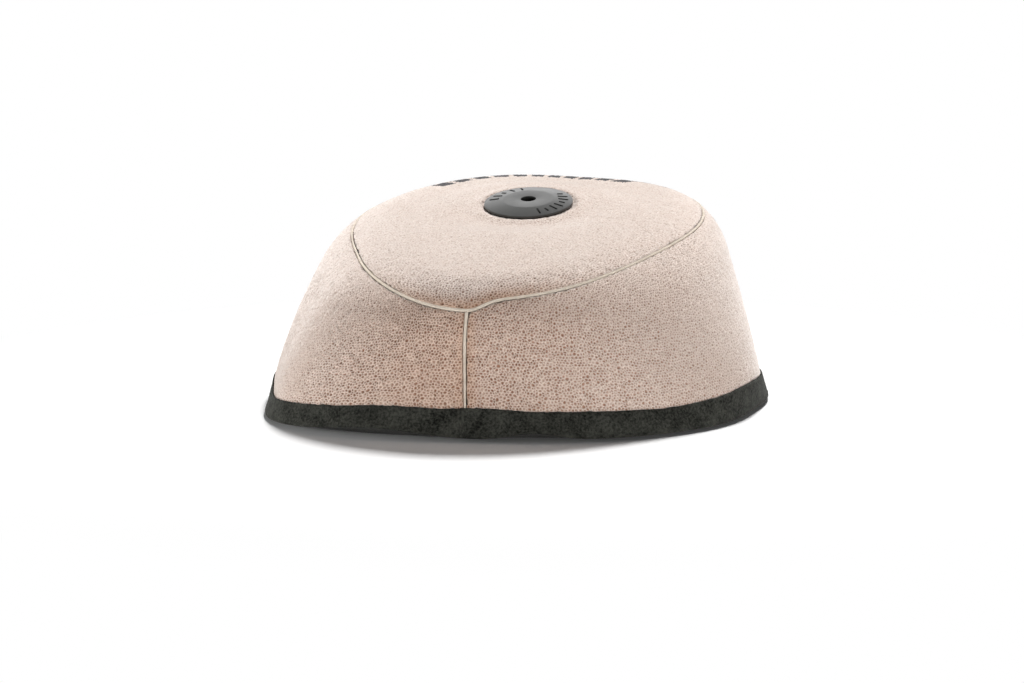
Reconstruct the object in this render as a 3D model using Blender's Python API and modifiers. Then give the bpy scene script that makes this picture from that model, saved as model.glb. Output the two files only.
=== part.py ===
"""Two-stage foam air filter for an off-road motorcycle, modelled as its separate glued pieces.

The filter stands on its sealing flange, which lies flat at z = 0. The front, where the ends of the
side band meet, looks towards -Y. Lengths are in metres and angles in degrees unless a name says otherwise.
"""
import math

import bmesh
import bpy
import numpy as np
from mathutils import Matrix

# Outlines seen from above: a circle with a few harmonics, stretched to an exact width and length
BASE_WIDTH = 0.2228
BASE_LENGTH = 0.2255
BASE_HARMONICS = (
    (2, 0.0101, -0.0143), (3, -0.0178, -0.0272), (4, -0.0239, -0.0057), (5, 0.0007, -0.0053),
    (6, -0.0087, 0.0102))
EDGE_WIDTH = 0.1603
EDGE_LENGTH = 0.2094
EDGE_SHIFT_Y = -0.0039
EDGE_HARMONICS = ((2, 0.0031, -0.0045), (3, 0.0766, -0.0028), (4, 0.0062, 0.0102), (5, -0.0027, -0.008))

# Sloping, crowned top, rounded shoulder, and a wall that swells by a share of its lean
PANEL_HEIGHT = 0.079
PANEL_SLOPE = 0.154
PANEL_CROWN = 0.0065
PANEL_SIDE_RISE = 0.0024
SHOULDER_REACH = 0.0221
WALL_SWELL = 0.196
WALL_SWELL_LEFT = 0.103
BASE_BLEND = 0.3

# Top seam: it dips where the ends of the band meet, slowly on the left and sharply on the right
SEAM_DIP = 0.0059
SEAM_DIP_LEFT = 31.8
SEAM_DIP_RIGHT = 4.6

# Foam layers and glue lines
OUTER_FOAM = 0.0075
INNER_FOAM = 0.0045
LAYER_GAP = 0.0004
GAP = 0.0003
GLUE_FILM = 0.0005
FILM_INSET = 0.0006
OUTER_GLUE = 0.0012
OUTER_GLUE_GAP = 0.00035
INNER_GLUE = 0.0020
INNER_GLUE_GAP = 0.0007
GLUE_PROUD = 0.0004

# Sealing flange: height, how far its foot stands out, and its reach under the foam
FLANGE_HEIGHT = 0.0105
FLANGE_FLARE = 0.0045
FLANGE_INWARD = 0.018
FLANGE_FOOT_ROUND = 0.0024
FLANGE_FOOT_ANGLES = (15.0, -20.0, -55.0, -90.0)
FLANGE_CHAMFER = 0.002

# Clamping disc on top and the washer that it snaps into
DISC_Y = 0.0119
DISC_TILT = 13.9
DISC_SINK = 0.0012
DISC_RADIUS = 0.0207
DISC_RIM = 0.0013
DISC_CONE = 0.0014
DISC_FLAT_RADIUS = 0.0118
DISC_CHAMFER = 0.0004
BOLT_HOLE_RADIUS = 0.0035
WEB = 0.0022
HUB_RADIUS = 0.010
HUB_BORE_RADIUS = 0.008
HUB_LIP = 0.0008
HUB_LIP_HEIGHT = 0.0022
HUB_HOLE_RADIUS = 0.0105
WASHER_RADIUS = 0.018
WASHER_THICKNESS = 0.0024
WASHER_CHAMFER = 0.0008
DIMPLE_FLAT_RADIUS = 0.023
DIMPLE_BLEND_RADIUS = 0.052

# Mesh fineness
COLUMN_STEP = 7.0
FRONT_COLUMNS = (2.5, 5.0)
BAND_STATIONS = (0.0, 0.16, 0.34, 0.54, 0.72, 0.87)
SHOULDER_STATIONS = (0.3, 0.65)
PANEL_RUNS = (2.02, 2.22, 2.44, 2.7, 3.0)
OUTLINE_SAMPLES = 721
TURNED_STEPS = 48
MERGE_DISTANCE = 1e-5
SMOOTH_ANGLE = 35.0
SLOPE_STEP = 1e-4

# Heights and depths that follow from the above
FOAM_BASE = FLANGE_HEIGHT + GAP + GLUE_FILM + GAP
INNER_TOP = OUTER_FOAM + LAYER_GAP
FOAM_DEPTH = INNER_TOP + INNER_FOAM
HUB_PLAN = np.array((0.0, DISC_Y))
DISC_HEIGHT = PANEL_HEIGHT + PANEL_SLOPE * DISC_Y + PANEL_CROWN - DISC_SINK

# The run of the foam surface from base to hub: wall, shoulder, panel
WALL_END, SHOULDER_END, DIMPLE_START, PANEL_END = 1.0, 2.0, 2.7, 3.0
SEAM_MIDDLE = 1.5


def clear_scene():
    """Start from an empty scene."""
    for item in list(bpy.data.objects):
        bpy.data.objects.remove(item, do_unlink=True)


def make_collection(name):
    """A collection for the filter's pieces, linked to the scene."""
    collection = bpy.data.collections.new(name)
    bpy.context.scene.collection.children.link(collection)
    return collection


def make_material(name, colour, roughness):
    """A plain Principled material; none of the filter's pieces is metal."""
    material = bpy.data.materials.new(name)
    material.use_nodes = True
    shader = material.node_tree.nodes["Principled BSDF"]
    shader.inputs["Base Color"].default_value = (*colour, 1.0)
    shader.inputs["Roughness"].default_value = roughness
    shader.inputs["Metallic"].default_value = 0.0
    return material


def lobed_plan(angle, width, length, shift_y, harmonics):
    """Points of a lobed outline; angle 0 is the front (-Y) and it grows towards +X."""
    def raw(turn):
        radius = np.ones_like(turn)
        for order, cosine, sine in harmonics:
            radius = radius + cosine * np.cos(order * turn) + sine * np.sin(order * turn)
        return radius * np.sin(turn), -radius * np.cos(turn)

    full_x, full_y = raw(np.linspace(0.0, 2.0 * math.pi, OUTLINE_SAMPLES))
    x, y = raw(np.asarray(angle, dtype=float))
    x = (x - (full_x.min() + full_x.max()) / 2.0) / np.ptp(full_x) * width
    y = (y - (full_y.min() + full_y.max()) / 2.0) / np.ptp(full_y) * length + shift_y
    return np.stack((x, y), axis=-1)


def base_plan(angle):
    """Outline of the foam where it stands on the flange."""
    return lobed_plan(angle, BASE_WIDTH, BASE_LENGTH, 0.0, BASE_HARMONICS)


def edge_plan(angle):
    """Outline of the sharp edge between wall and top, which the shoulder rounds off."""
    return lobed_plan(angle, EDGE_WIDTH, EDGE_LENGTH, EDGE_SHIFT_Y, EDGE_HARMONICS)


def lift(plan, height):
    """Plan points with a height."""
    return np.concatenate((plan, np.broadcast_to(height, plan.shape[:-1])[..., None]), axis=-1)


def unit(vectors):
    """Vectors scaled to length one."""
    return vectors / np.linalg.norm(vectors, axis=-1, keepdims=True)


def smooth_step(value):
    """Eased ramp from 0 to 1."""
    value = np.clip(value, 0.0, 1.0)
    return value * value * (3.0 - 2.0 * value)


def panel_point(angle, distance):
    """Point of the top panel at a plan distance from the hub, with the dimple under the disc."""
    spoke = edge_plan(angle) - HUB_PLAN
    reach = np.linalg.norm(spoke, axis=-1)
    flat = smooth_step((DIMPLE_BLEND_RADIUS - distance) / (DIMPLE_BLEND_RADIUS - DIMPLE_FLAT_RADIUS))
    offset = unit(spoke) * distance[..., None]
    shorten = 1.0 - (1.0 - math.cos(math.radians(DISC_TILT))) * flat
    offset = np.stack((offset[..., 0], offset[..., 1] * shorten), axis=-1)
    plan = HUB_PLAN + offset
    share = distance / reach
    crown = PANEL_CROWN * (1.0 - share ** 2) + PANEL_SIDE_RISE * np.sin(angle) ** 2 * share ** 3
    sheet = PANEL_HEIGHT + PANEL_SLOPE * plan[..., 1] + crown
    dimple = DISC_HEIGHT + math.tan(math.radians(DISC_TILT)) * offset[..., 1]
    return lift(plan, sheet + (dimple - sheet) * flat)


def foam_surface(angle, run):
    """Outside of the foam: run 0 to 1 climbs the wall, 1 to 2 the shoulder, 2 to 3 crosses to the hub."""
    angle, run = np.broadcast_arrays(np.asarray(angle, dtype=float), np.asarray(run, dtype=float))
    reach = np.linalg.norm(edge_plan(angle) - HUB_PLAN, axis=-1)
    base = lift(base_plan(angle), FOAM_BASE)
    edge = panel_point(angle, reach)
    low = edge + unit(base - edge) * SHOULDER_REACH
    high = panel_point(angle, reach - SHOULDER_REACH)

    share = np.clip(run / SHOULDER_END, 0.0, 1.0)
    lean = np.linalg.norm(base_plan(angle) - edge_plan(angle), axis=-1)
    swell = WALL_SWELL * lean * (1.0 - WALL_SWELL_LEFT * np.sin(angle)) * 4.0 * share * (1.0 - share)
    outward = np.stack((np.sin(angle), -np.cos(angle), np.zeros_like(angle)), axis=-1)
    swelling = outward * swell[..., None]

    climb = np.clip(run, 0.0, WALL_END)[..., None]
    wall = base + (low - base) * climb + swelling
    turn = np.clip(run - WALL_END, 0.0, 1.0)[..., None]
    shoulder = (1.0 - turn) ** 2 * low + 2.0 * turn * (1.0 - turn) * edge + turn ** 2 * high + swelling

    across = np.clip((run - SHOULDER_END) / (DIMPLE_START - SHOULDER_END), 0.0, 1.0)
    sunk = np.clip((run - DIMPLE_START) / (PANEL_END - DIMPLE_START), 0.0, 1.0)
    distance = (reach - SHOULDER_REACH) * (1.0 - across) + DIMPLE_FLAT_RADIUS * across
    distance = distance + (HUB_HOLE_RADIUS - DIMPLE_FLAT_RADIUS) * sunk
    top = panel_point(angle, distance)

    on_wall = (run < WALL_END)[..., None]
    on_shoulder = (run < SHOULDER_END)[..., None]
    return np.where(on_wall, wall, np.where(on_shoulder, shoulder, top))


def foam_point(angle, run, depth):
    """Point at a depth under the outside of the foam; at the base the depth is measured level."""
    angle, run = np.broadcast_arrays(np.asarray(angle, dtype=float), np.asarray(run, dtype=float))
    around = foam_surface(angle + SLOPE_STEP, run) - foam_surface(angle - SLOPE_STEP, run)
    below = foam_surface(angle, np.clip(run - SLOPE_STEP, 0.0, PANEL_END))
    above = foam_surface(angle, np.clip(run + SLOPE_STEP, 0.0, PANEL_END))
    normal = unit(np.cross(around, above - below))
    normal[..., 2] *= smooth_step(run / BASE_BLEND)
    return foam_surface(angle, run) - unit(normal) * depth


def seam_run(angle):
    """Where the top seam crosses the shoulder, with its dip at the front."""
    turn = (np.asarray(angle, dtype=float) + math.pi) % (2.0 * math.pi) - math.pi
    width = np.where(turn < 0.0, math.radians(SEAM_DIP_LEFT), math.radians(SEAM_DIP_RIGHT))
    dip = SEAM_DIP * np.exp(-(turn / width) ** 2)
    return SEAM_MIDDLE - dip / run_length(angle, SEAM_MIDDLE)


def run_length(angle, run):
    """Metres of foam surface to one unit of run."""
    ahead = foam_surface(angle, run + SLOPE_STEP)
    behind = foam_surface(angle, run - SLOPE_STEP)
    return np.linalg.norm(ahead - behind, axis=-1) / (2.0 * SLOPE_STEP)


def open_columns(half_slit):
    """Angles from one end of a band to the other, closer together near the front joint."""
    end = half_slit / np.linalg.norm(base_plan(0.0))
    near = np.radians(FRONT_COLUMNS)
    first = FRONT_COLUMNS[-1] + COLUMN_STEP
    spread = np.radians(np.linspace(first, 360.0 - first, round((360.0 - 2.0 * first) / COLUMN_STEP) + 1))
    return np.concatenate(([end], near, spread, 2.0 * math.pi - near[::-1], [2.0 * math.pi - end]))


def ring_columns():
    """Angles all the way round, matching the bands' columns."""
    return np.concatenate(([0.0], open_columns(OUTER_GLUE / 2.0 + OUTER_GLUE_GAP)))


def slit_columns(half_width):
    """The two sides of a thin piece in the front joint."""
    end = half_width / np.linalg.norm(base_plan(0.0))
    return np.array((-end, end))


def shade(mesh):
    """Smooth shading that keeps the real edges crisp."""
    mesh.shade_smooth()
    mesh.set_sharp_from_angle(angle=math.radians(SMOOTH_ANGLE))


def mesh_object(name, points, faces, material, collection):
    """A named, smooth-shaded object from points and faces, with its faces turned outwards."""
    mesh = bpy.data.meshes.new(name)
    mesh.from_pydata([tuple(point) for point in points], [], faces)
    work = bmesh.new()
    work.from_mesh(mesh)
    bmesh.ops.recalc_face_normals(work, faces=work.faces)
    work.to_mesh(mesh)
    work.free()
    shade(mesh)
    mesh.materials.append(material)
    piece = bpy.data.objects.new(name, mesh)
    collection.objects.link(piece)
    return piece


def loop_sweep(name, sections, closed, material, collection):
    """Solid through a row of closed sections with the same number of points, joined up or capped.

    The first half of a section is its outside and the second half comes back along its inside. Both are
    split along the same diagonals, and the ends like ladders, so that neighbours keep an even gap.
    """
    count, sides = len(sections), len(sections[0])
    points = np.concatenate(sections)
    faces = []
    for index in range(count if closed else count - 1):
        here, there = index * sides, (index + 1) % count * sides
        for side in range(sides):
            after = (side + 1) % sides
            lower, upper = (side, after) if side < sides // 2 else (after, side)
            faces.append((here + lower, there + lower, there + upper))
            faces.append((here + lower, there + upper, here + upper))
    for start in () if closed else (0, (count - 1) * sides):
        for rung in range(sides // 2 - 1):
            near, far = start + rung, start + sides - 1 - rung
            faces.append((near, near + 1, far - 1))
            faces.append((near, far - 1, far))
    return mesh_object(name, points, faces, material, collection)


def foam_sheet(name, angles, runs, top, bottom, closed, material, collection):
    """Sheet between two depths under the foam surface; runs has a row of stations for each angle."""
    sections = []
    for angle, stations in zip(angles, runs):
        outside = foam_point(np.full(len(stations), angle), stations, top)
        inside = foam_point(np.full(len(stations), angle), stations, bottom)
        sections.append(np.concatenate((outside, inside[::-1])))
    return loop_sweep(name, sections, closed, material, collection)


def seam_offset(angles, distance):
    """Stations beside the top seam, at a distance along the surface."""
    middle = seam_run(angles)
    return middle + distance / run_length(angles, middle)


def band_runs(angles, clearance):
    """Stations from the base to a clearance below the top seam, the same in both layers but for the last."""
    rows = np.outer(seam_run(angles), BAND_STATIONS)
    return np.column_stack((rows, seam_offset(angles, -clearance)))


def panel_runs(angles, clearance):
    """Stations from a clearance above the top seam to the hub, the same in both layers but for the first."""
    seam = seam_run(angles)
    shoulder = seam[:, None] + np.outer(SHOULDER_END - seam, SHOULDER_STATIONS)
    across = np.tile(PANEL_RUNS, (len(angles), 1))
    return np.column_stack((seam_offset(angles, clearance), shoulder, across))


def side_band(name, top, bottom, glue, gap, material, collection):
    """Foam strip round the side, open at the front joint and below the top seam."""
    angles = open_columns(glue / 2.0 + gap)
    runs = band_runs(angles, glue / 2.0 + gap)
    return foam_sheet(name, angles, runs, top, bottom, False, material, collection)


def top_panel(name, top, bottom, glue, gap, material, collection):
    """Foam panel from the top seam to the hub's hole."""
    angles = ring_columns()
    runs = panel_runs(angles, glue / 2.0 + gap)
    return foam_sheet(name, angles, runs, top, bottom, True, material, collection)


def top_seam(name, top, bottom, glue, material, collection):
    """Glue line between a band and its panel."""
    angles = ring_columns()
    runs = np.column_stack((seam_offset(angles, -glue / 2.0), seam_offset(angles, glue / 2.0)))
    return foam_sheet(name, angles, runs, top, bottom, True, material, collection)


def front_seam(name, top, bottom, glue, gap, material, collection):
    """Glue line between the two ends of a band."""
    angles = slit_columns(glue / 2.0)
    runs = band_runs(angles, glue / 2.0 + gap)
    return foam_sheet(name, angles, runs, top, bottom, False, material, collection)


def swept_strip(name, angles, profile, closed, material, collection):
    """Profile of (outward, height) points carried round the base outline."""
    ahead = base_plan(angles + SLOPE_STEP)
    behind = base_plan(angles - SLOPE_STEP)
    along = unit(ahead - behind)
    outward = np.stack((along[:, 1], -along[:, 0]), axis=-1)
    sections = []
    for start, direction in zip(base_plan(angles), outward):
        sections.append(np.array([(*(start + direction * out), height) for out, height in profile]))
    return loop_sweep(name, sections, closed, material, collection)


def flange_profile():
    """Flange section: flush with the foam above, flared and rounded at the foot, flat below."""
    foot = FLANGE_FLARE - FLANGE_FOOT_ROUND
    rounded = []
    for degrees in FLANGE_FOOT_ANGLES:
        angle = math.radians(degrees)
        rounded.append((foot + FLANGE_FOOT_ROUND * math.cos(angle),
                        FLANGE_FOOT_ROUND + FLANGE_FOOT_ROUND * math.sin(angle)))
    inner = [
        (-FLANGE_INWARD, 0.0),
        (-FLANGE_INWARD, FLANGE_HEIGHT - FLANGE_CHAMFER),
        (-FLANGE_INWARD + FLANGE_CHAMFER, FLANGE_HEIGHT),
    ]
    return [(-GAP, FLANGE_HEIGHT)] + rounded + inner


def film_profile():
    """Section of the glue film between the flange and the foam bands."""
    low = FLANGE_HEIGHT + GAP
    high = low + GLUE_FILM
    return [(-FILM_INSET, high), (-FILM_INSET, low), (-FOAM_DEPTH, low), (-FOAM_DEPTH, high)]


def turned_piece(name, profile, axis, material, collection):
    """Closed profile of (radius, height) points turned about the disc's axis."""
    count = len(profile)
    mesh = bpy.data.meshes.new(name)
    edges = [(index, (index + 1) % count) for index in range(count)]
    mesh.from_pydata([(radius, 0.0, height) for radius, height in profile], edges, [])
    mesh.materials.append(material)
    piece = bpy.data.objects.new(name, mesh)
    collection.objects.link(piece)
    piece.parent = axis
    screw = piece.modifiers.new("turn", "SCREW")
    screw.axis = "Z"
    screw.angle = 2.0 * math.pi
    screw.steps = TURNED_STEPS
    screw.render_steps = TURNED_STEPS
    screw.use_merge_vertices = True
    screw.merge_threshold = MERGE_DISTANCE
    solid = bpy.data.meshes.new_from_object(piece.evaluated_get(bpy.context.evaluated_depsgraph_get()))
    piece.modifiers.remove(screw)
    piece.data = solid
    shade(solid)
    return piece


def disc_profile():
    """Clamping disc: flat seat with the bolt hole, shallow cone, rim, and a hub with a snap lip."""
    rim_top = GAP + DISC_RIM
    seat = rim_top + DISC_CONE
    lip_top = -(FOAM_DEPTH + GAP + WASHER_THICKNESS + GAP)
    hub_end = lip_top - HUB_LIP_HEIGHT
    return [
        (BOLT_HOLE_RADIUS, seat),
        (DISC_FLAT_RADIUS, seat),
        (DISC_RADIUS - DISC_CHAMFER, rim_top),
        (DISC_RADIUS, rim_top - DISC_CHAMFER),
        (DISC_RADIUS, GAP + DISC_CHAMFER),
        (DISC_RADIUS - DISC_CHAMFER, GAP),
        (HUB_RADIUS, GAP),
        (HUB_RADIUS, lip_top),
        (HUB_RADIUS + HUB_LIP, lip_top),
        (HUB_RADIUS + HUB_LIP, lip_top - HUB_LIP),
        (HUB_RADIUS, hub_end),
        (HUB_BORE_RADIUS, hub_end),
        (HUB_BORE_RADIUS, seat - WEB),
        (BOLT_HOLE_RADIUS, seat - WEB),
    ]


def washer_profile():
    """Backing washer under the liner, free round the hub and held up by its lip."""
    top = -(FOAM_DEPTH + GAP)
    bottom = top - WASHER_THICKNESS
    inside = HUB_RADIUS + GAP
    return [
        (inside, top),
        (WASHER_RADIUS - WASHER_CHAMFER, top),
        (WASHER_RADIUS, top - WASHER_CHAMFER),
        (WASHER_RADIUS, bottom + WASHER_CHAMFER),
        (WASHER_RADIUS - WASHER_CHAMFER, bottom),
        (inside, bottom),
    ]


def make_disc_axis(collection):
    """Empty on the disc's tilted axis, where it crosses the floor of the dimple."""
    axis = bpy.data.objects.new("disc_axis", None)
    axis.matrix_world = (Matrix.Translation((0.0, DISC_Y, DISC_HEIGHT))
                         @ Matrix.Rotation(math.radians(DISC_TILT), 4, "X"))
    collection.objects.link(axis)
    return axis


def main():
    """Build every piece of the filter."""
    clear_scene()
    filter_parts = make_collection("air_filter")
    coarse_foam = make_material("coarse_foam", (0.55, 0.40, 0.33), 0.95)
    fine_foam = make_material("fine_foam", (0.62, 0.55, 0.42), 0.95)
    glue = make_material("seam_glue", (0.80, 0.74, 0.64), 0.6)
    dense_foam = make_material("dense_foam", (0.030, 0.031, 0.027), 0.85)
    black_plastic = make_material("black_plastic", (0.020, 0.020, 0.019), 0.42)

    side_band("outer_side_band", 0.0, OUTER_FOAM, OUTER_GLUE, OUTER_GLUE_GAP, coarse_foam, filter_parts)
    top_panel("outer_top_panel", 0.0, OUTER_FOAM, OUTER_GLUE, OUTER_GLUE_GAP, coarse_foam, filter_parts)
    top_seam("top_seam_glue", -GLUE_PROUD, OUTER_FOAM, OUTER_GLUE, glue, filter_parts)
    front_seam("front_seam_glue", -GLUE_PROUD, OUTER_FOAM, OUTER_GLUE, OUTER_GLUE_GAP, glue, filter_parts)

    side_band("inner_side_band", INNER_TOP, FOAM_DEPTH, INNER_GLUE, INNER_GLUE_GAP, fine_foam, filter_parts)
    top_panel("inner_top_panel", INNER_TOP, FOAM_DEPTH, INNER_GLUE, INNER_GLUE_GAP, fine_foam, filter_parts)
    top_seam("inner_top_seam_glue", INNER_TOP, FOAM_DEPTH, INNER_GLUE, glue, filter_parts)
    front_seam("inner_front_seam_glue", INNER_TOP, FOAM_DEPTH, INNER_GLUE, INNER_GLUE_GAP, glue, filter_parts)

    flange_ends = open_columns(OUTER_GLUE / 2.0 + OUTER_GLUE_GAP)
    swept_strip("seal_flange", flange_ends, flange_profile(), False, dense_foam, filter_parts)
    joint_sides = slit_columns(OUTER_GLUE / 2.0)
    swept_strip("flange_joint_glue", joint_sides, flange_profile(), False, dense_foam, filter_parts)
    swept_strip("flange_glue", ring_columns(), film_profile(), True, glue, filter_parts)

    axis = make_disc_axis(filter_parts)
    turned_piece("top_disc", disc_profile(), axis, black_plastic, filter_parts)
    turned_piece("backing_washer", washer_profile(), axis, black_plastic, filter_parts)


main()
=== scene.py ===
"""Looks of a two-stage foam air filter: open-cell foam, glue seams, sealing flange and clamping disc."""
import math

import bmesh
import bpy
import numpy as np
from mathutils import Matrix, Vector, geometry


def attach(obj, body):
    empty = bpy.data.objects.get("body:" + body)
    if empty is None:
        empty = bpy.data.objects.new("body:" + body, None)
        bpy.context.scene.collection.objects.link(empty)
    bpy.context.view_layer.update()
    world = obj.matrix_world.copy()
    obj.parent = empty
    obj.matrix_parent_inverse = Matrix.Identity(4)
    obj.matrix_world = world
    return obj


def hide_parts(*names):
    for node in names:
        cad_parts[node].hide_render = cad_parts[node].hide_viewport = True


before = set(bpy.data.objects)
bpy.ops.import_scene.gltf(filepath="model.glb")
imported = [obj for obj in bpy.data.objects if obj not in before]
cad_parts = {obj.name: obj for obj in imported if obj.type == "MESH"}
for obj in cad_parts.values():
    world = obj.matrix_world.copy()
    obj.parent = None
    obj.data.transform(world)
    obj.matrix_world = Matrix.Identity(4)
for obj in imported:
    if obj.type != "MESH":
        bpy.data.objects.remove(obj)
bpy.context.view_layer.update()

FULL_TURN = 2.0 * math.pi

# The filter's form: outlines seen from above, top, shoulder, wall, and the dip of the top seam
BASE_WIDTH = 0.2228
BASE_LENGTH = 0.2255
BASE_HARMONICS = (
    (2, 0.0101, -0.0143), (3, -0.0178, -0.0272), (4, -0.0239, -0.0057), (5, 0.0007, -0.0053),
    (6, -0.0087, 0.0102))
EDGE_WIDTH = 0.1603
EDGE_LENGTH = 0.2094
EDGE_SHIFT_Y = -0.0039
EDGE_HARMONICS = ((2, 0.0031, -0.0045), (3, 0.0766, -0.0028), (4, 0.0062, 0.0102), (5, -0.0027, -0.008))
PANEL_HEIGHT = 0.079
PANEL_SLOPE = 0.154
PANEL_CROWN = 0.0065
PANEL_SIDE_RISE = 0.0024
SHOULDER_REACH = 0.0221
WALL_SWELL = 0.196
WALL_SWELL_LEFT = 0.103
BASE_BLEND = 0.3
SEAM_DIP = 0.0051
SEAM_DIP_LEFT = 31.8
SEAM_DIP_RIGHT = 5.6
WALL_END, SHOULDER_END, DIMPLE_START, PANEL_END = 1.0, 2.0, 2.7, 3.0
SEAM_MIDDLE = 1.5
OUTLINE_SAMPLES = 721
SLOPE_STEP = 1e-4
WOUND_BACK = (0, 3, 2, 1)

# How the soft foam gives, as bumps of (middle and width in degrees, size) round the base:
# trims and flange tucks are shares, waves, edge lifts and foot tucks are metres, and the lean is radians
BASE_TRIMS = ((-58.0, 9.0, -0.012), (-42.0, 9.0, 0.012), (78.0, 12.0, -0.008))
BASE_WAVES = ((-50.0, 16.0, -0.0026), (-16.0, 9.0, 0.0016), (3.0, 9.0, 0.0014), (45.0, 12.0, -0.001),
              (76.0, 13.0, 0.0022))
EDGE_LIFTS = ((-19.0, 13.0, 0.0033), (15.5, 7.0, 0.0026))
EDGE_LIFT = 0.0011
EDGE_CURL = 0.012
FLANGE_TUCKS = ((-87.0, 26.0, 1.0),)
FOOT_TUCKS = ((76.0, 14.0, 0.0034),)
FRONT_LEAN = (0.007, -0.0147)
FRONT_LEAN_WIDTH = 0.35

# Foam layers, and half the slits that the glue fills between the sheets
OUTER_FOAM = 0.0075
INNER_FOAM = 0.0045
LAYER_GAP = 0.0004
GAP = 0.0003
FOAM_BASE = 0.0116
INNER_TOP = OUTER_FOAM + LAYER_GAP
FOAM_DEPTH = INNER_TOP + INNER_FOAM
OUTER_SLIT = 0.00052
INNER_SLIT = 0.0012

# Flange: section, joint, uneven lip and grain
FLANGE_HEIGHT = 0.0105
FLANGE_FLARE = 0.0045
FLANGE_INWARD = 0.018
FLANGE_FOOT = 0.0008
FLANGE_FOOT_TURN = (18.0, -90.0)
FLANGE_FOOT_POINTS = 10
FLANGE_LIP = 0.0122
FLANGE_LIP_GAP = 0.0003
FLANGE_LIP_BEVEL = (0.0005, 0.0002)
FLANGE_BEVEL = 0.002
FLANGE_SPACING = 0.0009
FLANGE_COLUMNS = 760
JOINT_SLIT = 0.00095
JOINT_FILL = 0.93
JOINT_COLUMNS = 4
FACE_BLEND = 0.0004
LIP_WAVES = (23, 37, 52, 71, 95)
LIP_WAVE_SHARES = (0.4, 1.0)
LIP_WAVE_HEIGHT = 0.00022
LIP_WAVE_START = 0.006
LIP_WAVE_BLEND = 0.004
LIP_SEED = 5
GRAIN = 0.00007
GRAIN_BLEND = 0.001
GRAIN_SEED = 21

# Clamping disc, washer and raised bars
DISC_Y = 0.0119
DISC_TILT = 13.9
DISC_SINK = 0.0012
DISC_RADIUS = 0.0207
DISC_RIM = 0.0013
DISC_CONE = 0.0014
DISC_FLAT_RADIUS = 0.0118
DISC_STEPS = 160
BOLT_HOLE_RADIUS = 0.0035
WEB = 0.0022
HUB_RADIUS = 0.010
HUB_BORE_RADIUS = 0.008
HUB_LIP = 0.0008
HUB_LIP_HEIGHT = 0.0022
HUB_HOLE_RADIUS = 0.0105
WASHER_RADIUS = 0.018
WASHER_THICKNESS = 0.0024
WASHER_STEPS = 128
SMALL_ROUND, EDGE_ROUND, RIM_ROUND, FLAT_ROUND, WASHER_ROUND = 0.0002, 0.0003, 0.0004, 0.0007, 0.0008
ROUND_POINTS = 5
ROUND_SHARE = 0.45
DIMPLE_FLAT_RADIUS = 0.023
DIMPLE_BLEND_RADIUS = 0.052
HUB_PLAN = np.array((0.0, DISC_Y))
DISC_HEIGHT = PANEL_HEIGHT + PANEL_SLOPE * DISC_Y + PANEL_CROWN - DISC_SINK
MARK_ARCS = ((-62.0, 48.0, 14.0), (112.0, 186.0, 17.0))
MARK_SIZE = {"Length": 0.0046, "Breadth": 0.0008, "Height": 0.0003}
SHORT_MARK = 0.6
SHORT_MARK_EVERY = 3

# Open-cell foam: pores, rims, and how it gives beside the seams and the disc
PORE_SPACING = 0.00136
PORE_JITTER = 0.43
PORE_SHAPE = {"Shallow": 0.0005, "Deep": 0.0010, "Narrow": 0.2, "Wide": 0.4, "Nap": 0.00014}
# Painted shade on the sunk cell floors: at least the first number, and up to the second more at random
PORE_SHADE = (0.6, 0.4)
ROW_SHARE = math.sqrt(0.75)
MERGE_DISTANCE = 1e-9
BACK_SPACING = 0.0032
BACK_JITTER = 0.1
LINER_SPACING = 0.0025
RIM_MARGIN = 0.45
PANEL_RIM_DENSITY = 1.6
FOAM_FILL = 0.9
SEAM_PINCH = 0.0001
SEAM_PINCH_WIDTH = 0.0026
DISC_SWELL = 0.0010
DISC_SWELL_START = DISC_RADIUS + 0.0004
DISC_SWELL_RAMP = 0.0014
DISC_SWELL_END = 0.031
DISC_SWELL_BLEND = 0.008
FRONT_LAYER, BACK_LAYER, WALL_LAYER = 0.0, 1.0, 2.0

# Warmer tone beside the front seams, and a broad painted shade, warmer and darker, over the front wall:
# strengths, and widths in metres or, round the hub, in radians
FRONT_WARMTH, FRONT_WARMTH_WIDTH = 0.85, 0.006
SEAM_WARMTH, SEAM_WARMTH_WIDTH, SEAM_WARMTH_SPAN = 0.7, 0.004, 0.03
BROAD_SHADE_RIGHT, BROAD_SHADE_LEFT, BROAD_SHADE_WIDTH = 0.36, 0.6, 0.055
PANEL_WARMTH_WIDTH, PANEL_WARMTH_SPAN = 0.005, 0.3

# Row of plain printed bars along the rear of the top: degrees, share of the pitch, metres from the seam
PRINT_START = 141.0
PRINT_PITCH = 8.8
PRINT_BLOCKS = 11
PRINT_SHARE = 0.78
PRINT_NEAR = 0.0125
PRINT_FAR = 0.0236

# Beads of glue
BEAD_RADIUS = 0.00059
BEAD_DEPTH = 0.00036
BEAD_SWELLS = ((-2.865, 9.167, 0.2), (-74.485, 25.783, -0.3))
BEAD_SHAPE = {"Unevenness": 0.15, "Wander": 0.0001, "Lump Size": 0.0035, "Sides": 14}
BEAD_POINTS = 900
FRONT_BEAD_POINTS = 110
FRONT_BEAD_START = 0.02
FRONT_BEAD_GAP = 0.0007
FRONT_BEAD_WIDTHS = (0.8, 1.1)
LINER_BEAD_RADIUS = 0.0009
LINER_BEAD_DEPTH = FOAM_DEPTH - 0.0011

# Map of the pored sheets for baking, in metres of foam: margins, shares of the true size and rim cells
BAKE_MAP = "OFBake"
BAKE_MARGIN = 0.003
BAKE_FLOOR_SHARE = 0.45
BAKE_BACK_SHARE = 0.2
BAKE_RIM_CELL = 0.0013
BAKE_RIM_REACH = 0.35
MAP_COLUMNS = 721
MAP_ROWS = 241
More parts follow.
